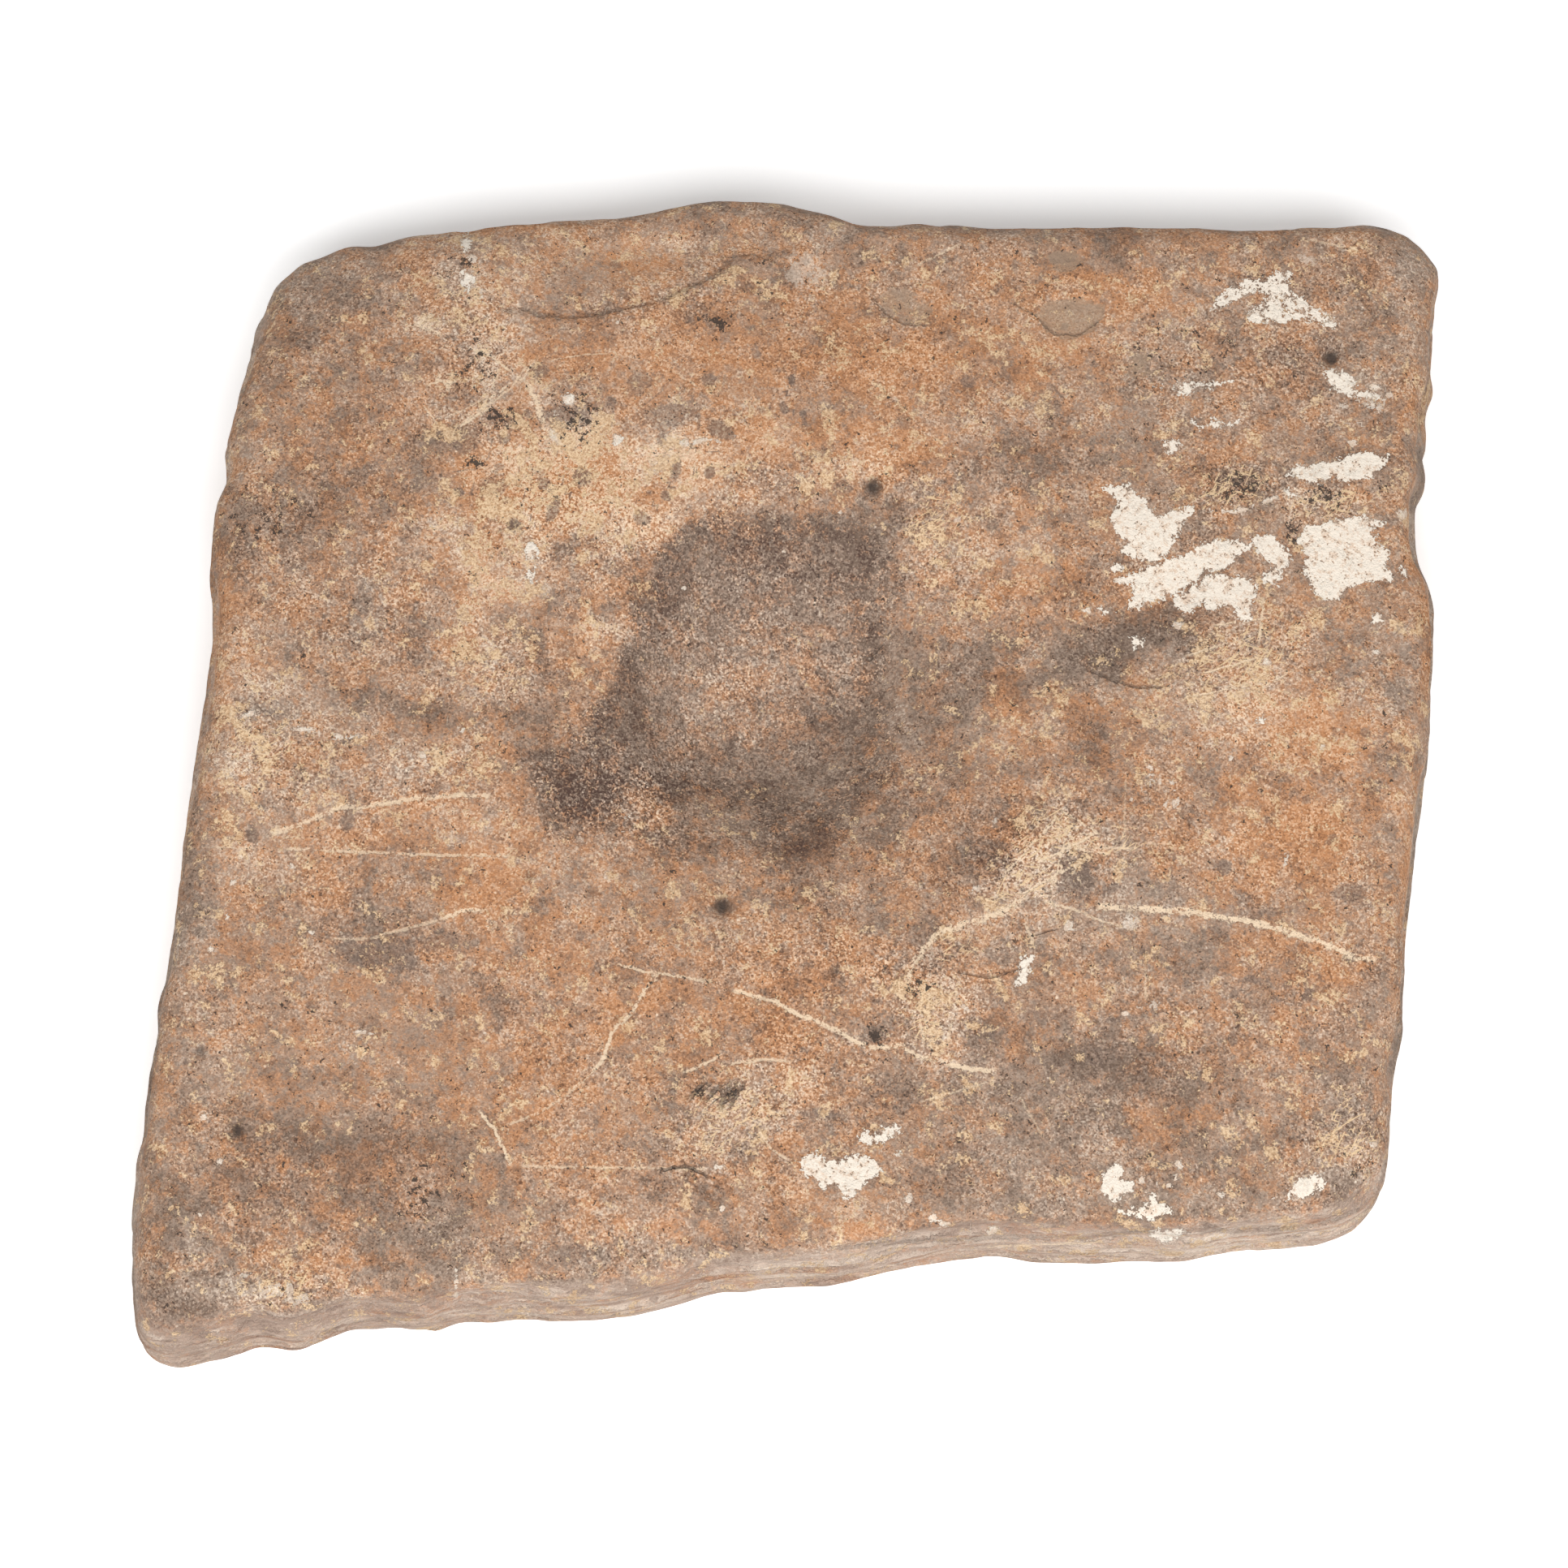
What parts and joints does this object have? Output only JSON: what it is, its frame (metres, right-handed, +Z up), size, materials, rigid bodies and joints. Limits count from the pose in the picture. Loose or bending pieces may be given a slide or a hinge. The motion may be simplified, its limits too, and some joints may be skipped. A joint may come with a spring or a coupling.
{
  "type": "grinding stone",
  "caption": "Flat stone slab with worn round edges and a shallow dished hollow in its upper face, on which grain or pigment is ground by hand.",
  "frame": {"origin": "on the surface that the stone lies on, under the middle of its outline", "axes": "+X along the longer side, +Y towards the back edge, +Z up out of the hollow"},
  "size_m": [0.43, 0.397, 0.06],
  "materials": {
    "stone": "matt weathered brown sandstone, stained dark in the hollow, with scratches and flecks of white lime"
  },
  "bodies": {
    "root": {"grinding_stone": "stone"}
  },
  "joints": []
}
